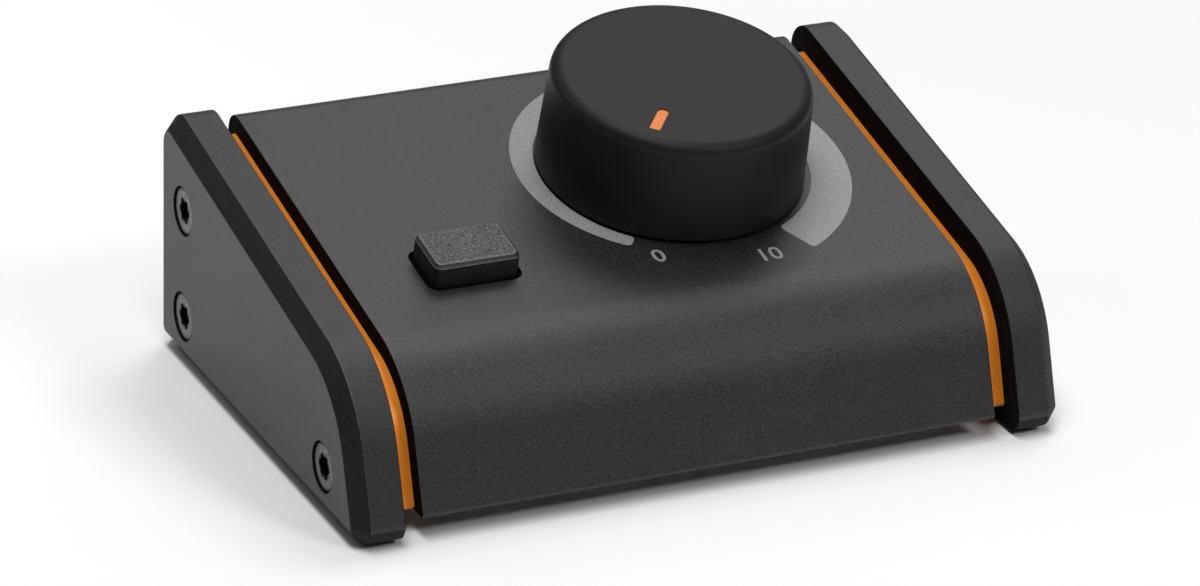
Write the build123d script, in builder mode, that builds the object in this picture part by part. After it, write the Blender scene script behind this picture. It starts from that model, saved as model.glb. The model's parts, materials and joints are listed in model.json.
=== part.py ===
from build123d import *
from math import cos, radians, sin, tan
import os

# Desktop monitor controller. +X is the user's right, +Y the rear, +Z up; the origin is on the
# table, at the centre of the overall box. All sizes are in millimetres.

os.makedirs("parts", exist_ok=True)

# ---------------------------------------------------------------- driving dimensions
# Side profile of the side plates
PLATE_DEPTH = 84.3
PLATE_BACK_HEIGHT = 41.1
SLOPE_DEG = 12.15
LEAN_DEG = 18.5
BEND_RADIUS = 20.0
TOP_BACK_RADIUS = 5.0
TOE_RADIUS = 3.0
HEEL_RADIUS = 1.0
LEAST_RADIUS = 0.6

# Stack across the width
WIDTH = 120.0
SIDE_PLATE = 8.0
ACCENT_PLATE = 3.4
PLATE_CHAMFER = 2.4
BODY_INSET = 1.3
ACCENT_RECESS = 3.0
ACCENT_RISE = 0.2
WALL = 4.0

# Heights above the table
FEET_PROUD = 0.6
BODY_LIFT = 3.0
BOTTOM_SHEET = 1.5
BOTTOM_GAP = 0.2

# Side screws, M4 countersunk
SCREW_BACK = 11.0
SCREW_LOW = 8.2
SCREW_DROP = 14.7
SCREW_TOE = 14.8
M4_RADIUS = 2.0
M4_CLEAR_RADIUS = 2.2
M4_HEAD_RADIUS = 3.7
M4_SINK_RADIUS = 3.95
M4_HEAD_ANGLE = 90.0
M4_HEAD_SUNK = 0.3
M4_HEAD_RIM = 0.4
M4_LENGTH = 20.0
SCREW_TIP_ROOM = 1.1
SOCKET_RADIUS = 1.65
SOCKET_LOBES = 6
SOCKET_LOBE_RADIUS = 0.5
SOCKET_DEPTH = 1.5
THREAD_GAP = 0.05
NUT_SIDES = 6

# End blocks and bosses inside the body
BLOCK_HEIGHT = 7.8
BLOCK_REACH = 16.4
BOSS_RADIUS = 3.6
BOSS_WEB = 4.0
ROOT_BITE = 1.0

# Base screws, M3 pan head
M3_RADIUS = 1.5
M3_CLEAR_RADIUS = 1.7
M3_HEAD_RADIUS = 2.75
M3_HEAD_HEIGHT = 1.65
BASE_SCREW_LENGTH = 7.0
BASE_SCREW_FROM_END = 5.0
BASE_SCREW_SETBACK = 12.9
CROSS_WIDTH = 0.8
CROSS_LENGTH = 2.8
CROSS_DEPTH = 0.9

# Feet
FOOT_RADIUS = 5.0
FOOT_FROM_END = 15.1
FOOT_FROM_REAR = 14.8
FOOT_FROM_FRONT = 11.1
FOOT_EDGE = 0.5

# Knob
KNOB_FROM_SIDE = 35.1
KNOB_DOWN = 33.7
KNOB_BASE_RADIUS = 21.6
KNOB_TOP_RADIUS = 20.9
KNOB_TOP = 17.8
KNOB_GAP = 0.5
KNOB_EDGE_RADIUS = 2.2
KNOB_LIP_RADIUS = 0.3
KNOB_SKIRT = 2.2
KNOB_ROOF = 3.0
HUB_RADIUS = 8.0
HUB_FLANGE_RADIUS = 16.0
HUB_FLANGE = 2.0
HUB_FLOOR = 3.6
POINTER_REST_DEG = 140.5
POINTER_START = 11.3
POINTER_END = 17.4
POINTER_WIDTH = 1.8
POINTER_SLOT = 1.4
POINTER_SUNK = 0.2

# Potentiometer
POT_WIDTH = 11.5
POT_LENGTH = 11.4
POT_CLEARANCE = 1.0
POT_WALL = 0.8
POT_PLATE = 0.8
POT_CAVITY_RADIUS = 4.9
POT_CORNER = 0.5
BUSHING_RADIUS = 3.5
BUSHING_PROUD = 3.0
PANEL_HOLE_GAP = 0.15
POT_WASHER_RADIUS = 6.0
POT_WASHER = 0.5
POT_NUT_FLATS = 10.0
POT_NUT = 2.0
SHAFT_RADIUS = 3.0
SHAFT_GAP = 0.05
SHAFT_TOP = 12.5
SHAFT_CHAMFER = 0.4
SHAFT_FLAT = 1.5
FLAT_START = 3.4
COLLAR_RADIUS = 4.2
COLLAR = 0.8
RUNNING_GAP = 0.3
SPINDLE_RADIUS = 2.0
WIPER_RADIUS = 4.4
WIPER = 1.0
TRACK = 0.5
BORE_FIT = 0.02
CLIP_THICKNESS = 0.4
CLIP_WIDTH = 4.0
CLIP_HEIGHT = 7.0
TAG_COUNT = 6
TAG_PITCH = 1.5
TAG_WIDTH = 0.8
TAG_THICKNESS = 0.4
TAG_REACH = 3.0
TAG_RISE = 2.0
RIBBON = 0.9
RIBBON_LAP = 1.0
RIBBON_RUN = 6.3
RIBBON_BEND = 2.5
POT_HEADER_LENGTH = 5.0
HEADER_HEIGHT = 4.5
HEADER_MARGIN = 0.8

# Push button
MONO_FROM_SIDE = 19.7
MONO_FROM_BEND = 24.8
MONO_WIDTH = 14.4
MONO_LENGTH = 9.5
MONO_CORNER = 1.3
MONO_BEVEL = 0.6
MONO_PROUD = 4.0
MONO_GAP = 0.7
MONO_SKIRT_DEPTH = 3.0
MONO_ROOF = 1.8
MONO_SIDE = 1.4
MONO_TRAVEL = 2.5
STEM_SIDE = 3.0
STEM_BOSS_RADIUS = 3.0
STEM_GRIP = 3.6

# Push switch and its board
SWITCH_SIDE = 8.5
SWITCH_WALL = 0.8
PLUNGER_GAP = 0.1
PLUNGER_FLANGE_RADIUS = 2.9
PLUNGER_FLANGE = 0.8
SPRING_RADIUS = 1.7
SPRING_WIRE_RADIUS = 0.2
SPRING_TURNS = 4
SWITCH_BOARD_CLEARANCE = 1.0
SWITCH_BOARD_EDGE = 0.8
SWITCH_BOARD_LENGTH = 15.0
BOARD_THICKNESS = 1.6
STANDOFF_FROM_CUTOUT = 3.7
STANDOFF_RADIUS = 2.6
STUD_RADIUS = 1.7
STUD_LENGTH = 2.2
PRESS_GAP = 0.02
SWITCH_PIN_COLUMN = 2.5
SWITCH_PIN_ROW = 5.0
SWITCH_PIN_COLUMNS = 3
SWITCH_PIN_ROWS = 2
PIN_RADIUS = 0.4
PIN_HOLE_GAP = 0.15
PIN_STICK_OUT = 1.0
PIN_RISE = 0.8
M25_RADIUS = 1.2
M25_HEAD_RADIUS = 2.3
M25_HEAD_HEIGHT = 1.5
M25_LENGTH = 6.5
M25_HOLE_EXTRA = 0.8
PLUG_GAP = 0.35
PLUG_WIDTH = 4.0
PLUG_LENGTH = 4.0
PLUG_HEIGHT = 4.0
LEAD_RADIUS = 1.1
LEAD_GAP = 0.5
LEAD_BEND = 2.0
SWITCH_HEADER_LENGTH = 5.0
SWITCH_HEADER_HEIGHT = 4.0

# Main board
BOARD_SIDE_GAP = 1.1
BOARD_FRONT_GAP = 15.1
BOARD_REAR_GAP = 0.5
SPACER_HEIGHT = 2.0
SPACER_FROM_EDGE = 4.5
SPACER_TO_SOCKETS = 4.8
BOARD_SCREW_HEAD = 1.6
RESISTOR_COUNT = 4
RESISTOR_PITCH = 2.6
RESISTOR_FROM_KNOB = 11.3
RESISTOR_RADIUS = 1.15
RESISTOR_LENGTH = 6.3
RESISTOR_LEAD_RADIUS = 0.3
RESISTOR_SPAN = 10.2

# Rear sockets, 6.35 mm
JACK_COUNT = 4
JACK_END_GAP = 1.6
JACK_GAP = 2.0
JACK_HEIGHT = 11.2
JACK_LENGTH = 23.5
JACK_WALL = 1.2
JACK_FACE = 3.0
JACK_BACK = 1.5
JACK_BORE_RADIUS = 3.2
JACK_TIP_HOLE_RADIUS = 3.6
JACK_BUSHING_RADIUS = 4.75
JACK_BUSHING_PROUD = 4.2
JACK_HOLE_GAP = 0.15
JACK_WASHER_RADIUS = 7.5
JACK_WASHER = 0.8
JACK_NUT_FLATS = 12.7
JACK_NUT = 2.4
LEAF_THICKNESS = 0.35
LEAF_WIDTH = 2.5
LEAF_SAG = 0.5
LEAF_WALL_GAP = 0.4
LEAF_REACH = 7.0
LEAF_STARTS = (1.0, 6.2, 11.4)
LEAF_SIDES = (-1, 1, -1)
LEAF_PIN_WIDTH = 1.2
LEAF_TAIL = 1.5
LEAF_HOLE_RADIUS = 0.9

# ---------------------------------------------------------------- derived places
slope = radians(SLOPE_DEG)
lean = radians(LEAN_DEG)
toe_half_angle = radians(90.0 - LEAN_DEG) / 2

# The toe's rounding takes a little off the depth, and the sockets add a little behind.
rear_reach = JACK_BUSHING_PROUD - BODY_INSET
toe_cut = TOE_RADIUS / tan(toe_half_angle) - TOE_RADIUS
overall_depth = PLATE_DEPTH - toe_cut + rear_reach
BACK_Y = overall_depth / 2 - rear_reach
FRONT_Y = BACK_Y - PLATE_DEPTH

PLATE_BASE_Z = FEET_PROUD
BODY_BASE_Z = PLATE_BASE_Z + BODY_LIFT
FLOOR_TOP_Z = BODY_BASE_Z + BOTTOM_SHEET
BODY_BACK_Y = BACK_Y - BODY_INSET
REAR_INSIDE_Y = BODY_BACK_Y - WALL

PLATE_INSIDE_X = WIDTH / 2 - SIDE_PLATE
BODY_HALF_X = PLATE_INSIDE_X - ACCENT_PLATE
BLOCK_LENGTH = M4_LENGTH + M4_HEAD_SUNK - SIDE_PLATE - ACCENT_PLATE + SCREW_TIP_ROOM
BLOCK_INNER_X = BODY_HALF_X - BLOCK_LENGTH
KNOB_X = BODY_HALF_X - KNOB_FROM_SIDE
MONO_X = MONO_FROM_SIDE - BODY_HALF_X
ACCENT_INSET = BODY_INSET + ACCENT_RECESS
CAVITY_INSET = BODY_INSET + WALL
HEAD_SEAT = M4_HEAD_SUNK + M4_HEAD_RIM

STANDING = (Align.CENTER, Align.CENTER, Align.MIN)
HANGING = (Align.CENTER, Align.CENTER, Align.MAX)


def profile_corners(inset, base_z):
    """Heel, top-back, bend and toe corners of the side profile, moved in by inset, cut at base_z."""
    back = BACK_Y - inset
    slope_at_back = PLATE_BASE_Z + PLATE_BACK_HEIGHT - inset / cos(slope)
    toe = FRONT_Y + inset / cos(lean)
    toe_at_zero = toe - PLATE_BASE_Z * tan(lean)
    bend_z = (slope_at_back - tan(slope) * (BACK_Y - toe_at_zero)) / (1 - tan(slope) * tan(lean))
    return [
        (back, base_z),
        (back, slope_at_back - inset * tan(slope)),
        (toe_at_zero + bend_z * tan(lean), bend_z),
        (toe_at_zero + base_z * tan(lean), base_z),
    ]


def profile_radii(inset, heel, toe):
    """Corner radii that go with profile_corners."""
    return [heel, max(TOP_BACK_RADIUS - inset, LEAST_RADIUS), max(BEND_RADIUS - inset, LEAST_RADIUS), toe]


def front_inside_y(height):
    """Inner face of the leaning front wall at a height."""
    return profile_corners(CAVITY_INSET, height)[3][0]


def screw_places(side, depth):
    """Side screw places on one side, local z pointing out of the plate, at a depth below its face."""
    return [
        Plane(origin=(side * (WIDTH / 2 - depth), y, z), x_dir=(0, side, 0), z_dir=(side, 0, 0)).location
        for y, z in SIDE_SCREW_POINTS
    ]


def leaf_pin_point(jack_x, leaf):
    """Centre of a contact leaf's terminal pin, as (x, y)."""
    pin_x = jack_x + LEAF_SIDES[leaf] * (JACK_WIDTH / 2 - JACK_WALL - LEAF_WALL_GAP)
    return (pin_x, JACK_CAVITY_BACK_Y + LEAF_STARTS[leaf])


# Sloping top panel: local x to the right, local y up the slope, local z out of the panel.
panel_corner, bend_corner = profile_corners(BODY_INSET, BODY_BASE_Z)[1:3]
MONO_DOWN = (panel_corner[0] - bend_corner[0]) / cos(slope) - MONO_FROM_BEND
panel = Plane(
    origin=(0, panel_corner[0], panel_corner[1]),
    x_dir=(1, 0, 0),
    z_dir=(0, -sin(slope), cos(slope)),
)
knob_plane = panel.shift_origin(panel.from_local_coords(Vector(KNOB_X, -KNOB_DOWN, 0)))
mono_plane = panel.shift_origin(panel.from_local_coords(Vector(MONO_X, -MONO_DOWN, 0)))

# Side screw axes, as (y, z)
SIDE_SCREW_POINTS = [
    (BACK_Y - SCREW_BACK, PLATE_BASE_Z + PLATE_BACK_HEIGHT - SCREW_DROP),
    (BACK_Y - SCREW_BACK, PLATE_BASE_Z + SCREW_LOW),
    (FRONT_Y + SCREW_TOE, PLATE_BASE_Z + SCREW_LOW),
]
FLOOR_FRONT_Y = front_inside_y(FLOOR_TOP_Z)
REAR_BLOCK_Y = REAR_INSIDE_Y - BLOCK_REACH
FRONT_BLOCK_Y = FLOOR_FRONT_Y + BLOCK_REACH
BOTTOM_FRONT_Y = FLOOR_FRONT_Y + BOTTOM_GAP
BOTTOM_REAR_Y = REAR_INSIDE_Y - BOTTOM_GAP
BOSS_TO_WALL = REAR_INSIDE_Y - SIDE_SCREW_POINTS[0][0]

BASE_SCREW_X = BODY_HALF_X - BASE_SCREW_FROM_END
BASE_SCREW_POINTS = [
    (side * BASE_SCREW_X, y)
    for side in (-1, 1)
    for y in (REAR_INSIDE_Y - BASE_SCREW_SETBACK, FLOOR_FRONT_Y + BASE_SCREW_SETBACK)
]
FOOT_X = BODY_HALF_X - FOOT_FROM_END
FOOT_REAR_Y = REAR_INSIDE_Y - FOOT_FROM_REAR
FOOT_FRONT_Y = FLOOR_FRONT_Y + FOOT_FROM_FRONT
FOOT_POINTS = [(side * FOOT_X, y) for side in (-1, 1) for y in (FOOT_REAR_Y, FOOT_FRONT_Y)]

BOARD_BASE_Z = FLOOR_TOP_Z + SPACER_HEIGHT
BOARD_TOP_Z = BOARD_BASE_Z + BOARD_THICKNESS
BOARD_HALF_X = BLOCK_INNER_X - BOARD_SIDE_GAP
BOARD_REAR_Y = REAR_INSIDE_Y - BOARD_REAR_GAP
BOARD_FRONT_Y = FLOOR_FRONT_Y + BOARD_FRONT_GAP

# The sockets share the rear wall between the end blocks.
JACK_Z = BOARD_TOP_Z + JACK_HEIGHT / 2
JACK_ROOM = 2 * (BLOCK_INNER_X - JACK_END_GAP)
JACK_WIDTH = (JACK_ROOM - (JACK_COUNT - 1) * JACK_GAP) / JACK_COUNT
JACK_PITCH = JACK_WIDTH + JACK_GAP
JACK_XS = [(i - (JACK_COUNT - 1) / 2) * JACK_PITCH for i in range(JACK_COUNT)]
JACK_TIP_Y = BODY_BACK_Y + JACK_BUSHING_PROUD
JACK_INNER_Y = REAR_INSIDE_Y - JACK_LENGTH
rear_plane = Plane(origin=(0, BODY_BACK_Y, JACK_Z), x_dir=(-1, 0, 0), z_dir=(0, 1, 0))

SPACER_X = BOARD_HALF_X - SPACER_FROM_EDGE
SPACER_REAR_Y = JACK_INNER_Y - SPACER_TO_SOCKETS
SPACER_FRONT_Y = BOARD_FRONT_Y + SPACER_FROM_EDGE
SPACER_POINTS = [(side * SPACER_X, y) for side in (-1, 1) for y in (SPACER_REAR_Y, SPACER_FRONT_Y)]

# The potentiometer is as deep as the room over the sockets allows.
panel_over_socket_z = panel_corner[1] - (panel_corner[0] - JACK_INNER_Y) * tan(slope)
POT_DEPTH = (panel_over_socket_z - JACK_Z - JACK_HEIGHT / 2 - POT_CLEARANCE) * cos(slope) - WALL

# The push switch hangs at the height that keeps its board clear of the main board.
STANDOFF_X = MONO_WIDTH / 2 + MONO_GAP + STANDOFF_FROM_CUTOUT
SWITCH_BOARD_WIDTH = 2 * (STANDOFF_X + STANDOFF_RADIUS + SWITCH_BOARD_EDGE)
PLUG_X = SWITCH_SIDE / 2 + PLUG_GAP + PLUG_WIDTH / 2
PLUG_Y = STANDOFF_RADIUS + LEAD_GAP + LEAD_RADIUS
switch_front_z = mono_plane.origin.Z - SWITCH_BOARD_LENGTH / 2 * sin(slope)
SWITCH_SEAT = (switch_front_z - BOARD_TOP_Z - SWITCH_BOARD_CLEARANCE) / cos(slope) - BOARD_THICKNESS

# Depths below the panel's outer face
CASE_TOP = -WALL
CASE_BOTTOM = -WALL - POT_DEPTH
CAVITY_BOTTOM = CASE_BOTTOM + POT_WALL
PLATE_BOTTOM = CASE_TOP - POT_PLATE
COLLAR_TOP = PLATE_BOTTOM - RUNNING_GAP
COLLAR_BOTTOM = COLLAR_TOP - COLLAR
TRACK_TOP = CAVITY_BOTTOM + TRACK
WIPER_BOTTOM = TRACK_TOP + RUNNING_GAP
KNOB_INSIDE_TOP = KNOB_TOP - KNOB_ROOF
SPRING_SOLID = (SPRING_TURNS + 1) * 2 * SPRING_WIRE_RADIUS
SWITCH_HEIGHT = 2 * SWITCH_WALL + PLUNGER_GAP + PLUNGER_FLANGE + MONO_TRAVEL + SPRING_SOLID
SWITCH_TOP = -SWITCH_SEAT + SWITCH_HEIGHT
SWITCH_BOARD_BOTTOM = -SWITCH_SEAT - BOARD_THICKNESS
FLANGE_TOP = SWITCH_TOP - SWITCH_WALL - PLUNGER_GAP
SPRING_BOTTOM = -SWITCH_SEAT + SWITCH_WALL + SPRING_WIRE_RADIUS
SPRING_LENGTH = FLANGE_TOP - PLUNGER_FLANGE - SPRING_WIRE_RADIUS - SPRING_BOTTOM
TAG_LEVEL = CASE_BOTTOM + TAG_RISE

# Knob construction planes: a section through the knob's axis, and the pointer's own direction
knob_axis = Axis(origin=knob_plane.origin, direction=knob_plane.z_dir)
mono_axis = Axis(origin=mono_plane.origin, direction=mono_plane.z_dir)
knob_section = Plane(origin=knob_plane.origin, x_dir=knob_plane.x_dir, z_dir=-knob_plane.y_dir)
pointer_angle = radians(POINTER_REST_DEG)
pointer_plane = Plane(
    origin=knob_plane.from_local_coords(Vector(0, 0, KNOB_TOP)),
    x_dir=knob_plane.x_dir * -sin(pointer_angle) + knob_plane.y_dir * cos(pointer_angle),
    z_dir=knob_plane.z_dir,
)
POINTER_RUN = POINTER_END - POINTER_START - POINTER_WIDTH / 2

# Leads: the ribbon runs off the potentiometer's tags and drops to its header, and the switch lead
# runs from its plug past the end of the switch board and drops to its own.
ribbon_level = TAG_LEVEL + TAG_THICKNESS + RIBBON / 2
ribbon_start_y = -POT_LENGTH / 2 - RIBBON_LAP
ribbon_start = knob_plane.from_local_coords(Vector(0, ribbon_start_y, ribbon_level))
ribbon_turn = knob_plane.from_local_coords(Vector(0, ribbon_start_y - RIBBON_RUN, ribbon_level))
RIBBON_POINTS = [
    (ribbon_start.Y, ribbon_start.Z),
    (ribbon_turn.Y, ribbon_turn.Z),
    (ribbon_turn.Y, BOARD_TOP_Z + HEADER_HEIGHT),
]
lead_level = -SWITCH_SEAT + PLUG_HEIGHT / 2
lead_turn_x = SWITCH_BOARD_WIDTH / 2 + LEAD_GAP + SWITCH_HEADER_LENGTH / 2
lead_start = mono_plane.from_local_coords(Vector(PLUG_X + PLUG_WIDTH / 2, PLUG_Y, lead_level))
lead_turn = mono_plane.from_local_coords(Vector(lead_turn_x, PLUG_Y, lead_level))
LEAD_POINTS = [lead_start, lead_turn, Vector(lead_turn.X, lead_turn.Y, BOARD_TOP_Z + SWITCH_HEADER_HEIGHT)]

# Sockets: the cavity behind the bore, and the terminal pin of each contact leaf
JACK_CAVITY_BACK_Y = JACK_INNER_Y + JACK_BACK
JACK_CAVITY_FRONT_Y = REAR_INSIDE_Y - JACK_FACE
LEAF_COUNT = len(LEAF_STARTS)

# ---------------------------------------------------------------- side plates
for side, node in ((-1, "side_plate_left"), (1, "side_plate_right")):
    with BuildPart() as side_plate:
        for offset_x, inset in ((PLATE_INSIDE_X, 0), (WIDTH / 2 - PLATE_CHAMFER, 0), (WIDTH / 2, PLATE_CHAMFER)):
            with BuildSketch(Plane.YZ.offset(side * offset_x)):
                with BuildLine():
                    FilletPolyline(
                        *profile_corners(inset, PLATE_BASE_Z + inset),
                        radius=profile_radii(inset, HEEL_RADIUS, max(TOE_RADIUS - inset, LEAST_RADIUS)),
                        close=True,
                    )
                make_face()
        loft(ruled=True)
        with Locations(*screw_places(side, 0)):
            Cylinder(M4_SINK_RADIUS, HEAD_SEAT, align=HANGING, mode=Mode.SUBTRACT)
        with Locations(*screw_places(side, HEAD_SEAT)):
            CounterSinkHole(
                radius=M4_CLEAR_RADIUS,
                counter_sink_radius=M4_HEAD_RADIUS,
                depth=SIDE_PLATE,
                counter_sink_angle=M4_HEAD_ANGLE,
            )
    side_plate.part.label = node
    export_step(side_plate.part, f"parts/{node}.step")

# ---------------------------------------------------------------- accent plates
for side, node in ((-1, "accent_plate_left"), (1, "accent_plate_right")):
    with BuildPart() as accent_plate:
        with BuildSketch(Plane.YZ.offset(side * BODY_HALF_X)):
            with BuildLine():
                FilletPolyline(
                    *profile_corners(ACCENT_INSET, BODY_BASE_Z + ACCENT_RISE),
                    radius=profile_radii(ACCENT_INSET, LEAST_RADIUS, LEAST_RADIUS),
                    close=True,
                )
            make_face()
            with Locations(*SIDE_SCREW_POINTS):
                Circle(M4_CLEAR_RADIUS, mode=Mode.SUBTRACT)
        extrude(amount=side * ACCENT_PLATE)
    accent_plate.part.label = node
    export_step(accent_plate.part, f"parts/{node}.step")

# ---------------------------------------------------------------- body shell
with BuildPart() as body_shell:
    with BuildSketch(Plane.YZ.offset(-BODY_HALF_X)):
        with BuildLine():
            FilletPolyline(
                *profile_corners(BODY_INSET, BODY_BASE_Z),
                radius=profile_radii(BODY_INSET, LEAST_RADIUS, LEAST_RADIUS),
                close=True,
            )
        make_face()
        with BuildLine():
            FilletPolyline(
                *profile_corners(CAVITY_INSET, BODY_BASE_Z - ROOT_BITE),
                radius=profile_radii(CAVITY_INSET, 0, 0),
                close=True,
            )
        make_face(mode=Mode.SUBTRACT)
    extrude(amount=2 * BODY_HALF_X)
    # Blocks and a boss at each end take the side screws and the base screws.
    for side in (-1, 1):
        with BuildSketch(Plane.YZ.offset(side * BODY_HALF_X)):
            with Locations((REAR_BLOCK_Y, FLOOR_TOP_Z)):
                Rectangle(BLOCK_REACH + ROOT_BITE, BLOCK_HEIGHT, align=(Align.MIN, Align.MIN))
            with Locations((FRONT_BLOCK_Y, FLOOR_TOP_Z)):
                Rectangle(BLOCK_REACH + ROOT_BITE, BLOCK_HEIGHT, align=(Align.MAX, Align.MIN))
            with Locations(SIDE_SCREW_POINTS[0]):
                Circle(BOSS_RADIUS)
                Rectangle(BOSS_TO_WALL + ROOT_BITE, BOSS_WEB, align=(Align.MIN, Align.CENTER))
            with Locations(*SIDE_SCREW_POINTS):
                Circle(M4_RADIUS + THREAD_GAP, mode=Mode.SUBTRACT)
        extrude(amount=-side * BLOCK_LENGTH)
    with Locations(*[(x, y, FLOOR_TOP_Z) for x, y in BASE_SCREW_POINTS]):
        Cylinder(M3_RADIUS + THREAD_GAP, BASE_SCREW_LENGTH, align=STANDING, mode=Mode.SUBTRACT)
    # Cut-outs in the sloping panel: the button, the potentiometer's bushing and two blind stud holes
    with BuildSketch(mono_plane):
        RectangleRounded(MONO_WIDTH + 2 * MONO_GAP, MONO_LENGTH + 2 * MONO_GAP, MONO_CORNER + MONO_GAP)
    extrude(amount=-(WALL + ROOT_BITE), mode=Mode.SUBTRACT)
    with BuildSketch(knob_plane):
        Circle(BUSHING_RADIUS + PANEL_HOLE_GAP)
    extrude(amount=-(WALL + ROOT_BITE), mode=Mode.SUBTRACT)
    with BuildSketch(mono_plane.offset(-WALL - ROOT_BITE)):
        with GridLocations(2 * STANDOFF_X, 0, 2, 1):
            Circle(STUD_RADIUS + PRESS_GAP)
    extrude(amount=STUD_LENGTH + ROOT_BITE, mode=Mode.SUBTRACT)
    # Socket holes in the rear wall
    with BuildSketch(rear_plane):
        with GridLocations(JACK_PITCH, 0, JACK_COUNT, 1):
            Circle(JACK_BUSHING_RADIUS + JACK_HOLE_GAP)
    extrude(amount=-(WALL + ROOT_BITE), mode=Mode.SUBTRACT)
body_shell.part.label = "body_shell"
export_step(body_shell.part, "parts/body_shell.step")

# ---------------------------------------------------------------- side screws
with BuildPart() as side_screws:
    for side in (-1, 1):
        with Locations(*screw_places(side, M4_HEAD_SUNK)):
            Cylinder(M4_HEAD_RADIUS, M4_HEAD_RIM, align=HANGING)
        with Locations(*screw_places(side, HEAD_SEAT)):
            Cone(M4_RADIUS, M4_HEAD_RADIUS, M4_HEAD_RADIUS - M4_RADIUS, align=HANGING)
            Cylinder(M4_RADIUS, M4_LENGTH - M4_HEAD_RIM, align=HANGING)
        with Locations(*screw_places(side, M4_HEAD_SUNK)):
            Cylinder(SOCKET_RADIUS, SOCKET_DEPTH, align=HANGING, mode=Mode.SUBTRACT)
            with PolarLocations(SOCKET_RADIUS, SOCKET_LOBES):
                Cylinder(SOCKET_LOBE_RADIUS, SOCKET_DEPTH, align=HANGING, mode=Mode.SUBTRACT)
side_screws.part.label = "side_screws"
export_step(side_screws.part, "parts/side_screws.step")

# ---------------------------------------------------------------- base
with BuildPart() as bottom_plate:
    with BuildSketch(Plane.XY.offset(BODY_BASE_Z)):
        with Locations((0, (BOTTOM_FRONT_Y + BOTTOM_REAR_Y) / 2)):
            Rectangle(2 * (BODY_HALF_X - BOTTOM_GAP), BOTTOM_REAR_Y - BOTTOM_FRONT_Y)
        with Locations(*BASE_SCREW_POINTS):
            Circle(M3_CLEAR_RADIUS, mode=Mode.SUBTRACT)
        with Locations(*SPACER_POINTS):
            Circle(M3_RADIUS + THREAD_GAP, mode=Mode.SUBTRACT)
    extrude(amount=BOTTOM_SHEET)
bottom_plate.part.label = "bottom_plate"
export_step(bottom_plate.part, "parts/bottom_plate.step")

with BuildPart() as bottom_screws:
    head_places = [(x, y, BODY_BASE_Z) for x, y in BASE_SCREW_POINTS]
    with Locations(*head_places):
        Cylinder(M3_HEAD_RADIUS, M3_HEAD_HEIGHT, align=HANGING)
    fillet(bottom_screws.faces().group_by(Axis.Z)[0].edges(), radius=M3_HEAD_HEIGHT / 2)
    with Locations(*head_places):
        Cylinder(M3_RADIUS, BASE_SCREW_LENGTH, align=STANDING)
    with BuildSketch(Plane.XY.offset(BODY_BASE_Z - M3_HEAD_HEIGHT)):
        with Locations(*BASE_SCREW_POINTS):
            Rectangle(CROSS_LENGTH, CROSS_WIDTH)
            Rectangle(CROSS_WIDTH, CROSS_LENGTH)
    extrude(amount=CROSS_DEPTH, mode=Mode.SUBTRACT)
bottom_screws.part.label = "bottom_screws"
export_step(bottom_screws.part, "parts/bottom_screws.step")

with BuildPart() as rubber_feet:
    with Locations(*[(x, y, 0) for x, y in FOOT_POINTS]):
        Cylinder(FOOT_RADIUS, BODY_BASE_Z, align=STANDING)
    fillet(rubber_feet.faces().group_by(Axis.Z)[0].edges(), radius=FOOT_EDGE)
rubber_feet.part.label = "rubber_feet"
export_step(rubber_feet.part, "parts/rubber_feet.step")

# ---------------------------------------------------------------- volume knob
with BuildPart() as knob_shell:
    with BuildSketch(knob_section):
        with BuildLine():
            FilletPolyline(
                (0, KNOB_TOP),
                (KNOB_TOP_RADIUS, KNOB_TOP),
                (KNOB_BASE_RADIUS, KNOB_GAP),
                (KNOB_BASE_RADIUS - KNOB_SKIRT, KNOB_GAP),
                (KNOB_TOP_RADIUS - KNOB_SKIRT, KNOB_INSIDE_TOP),
                (0, KNOB_INSIDE_TOP),
                radius=[0, KNOB_EDGE_RADIUS, KNOB_LIP_RADIUS, KNOB_LIP_RADIUS, LEAST_RADIUS, 0],
                close=True,
            )
        make_face()
    revolve(axis=knob_axis)
    with BuildSketch(pointer_plane):
        with Locations((POINTER_START + POINTER_WIDTH / 2, 0)):
            Circle(POINTER_WIDTH / 2)
            Rectangle(POINTER_RUN, POINTER_WIDTH, align=(Align.MIN, Align.CENTER))
    extrude(amount=-POINTER_SLOT, mode=Mode.SUBTRACT)
knob_shell.part.label = "knob_shell"
export_step(knob_shell.part, "parts/knob_shell.step")

with BuildPart() as knob_pointer:
    with BuildSketch(pointer_plane.offset(-POINTER_SLOT)):
        with Locations((POINTER_START + POINTER_WIDTH / 2, 0)):
            Circle(POINTER_WIDTH / 2 - PRESS_GAP)
            Rectangle(POINTER_RUN - PRESS_GAP, POINTER_WIDTH - 2 * PRESS_GAP, align=(Align.MIN, Align.CENTER))
    extrude(amount=POINTER_SLOT - POINTER_SUNK)
knob_pointer.part.label = "knob_pointer"
export_step(knob_pointer.part, "parts/knob_pointer.step")

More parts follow.
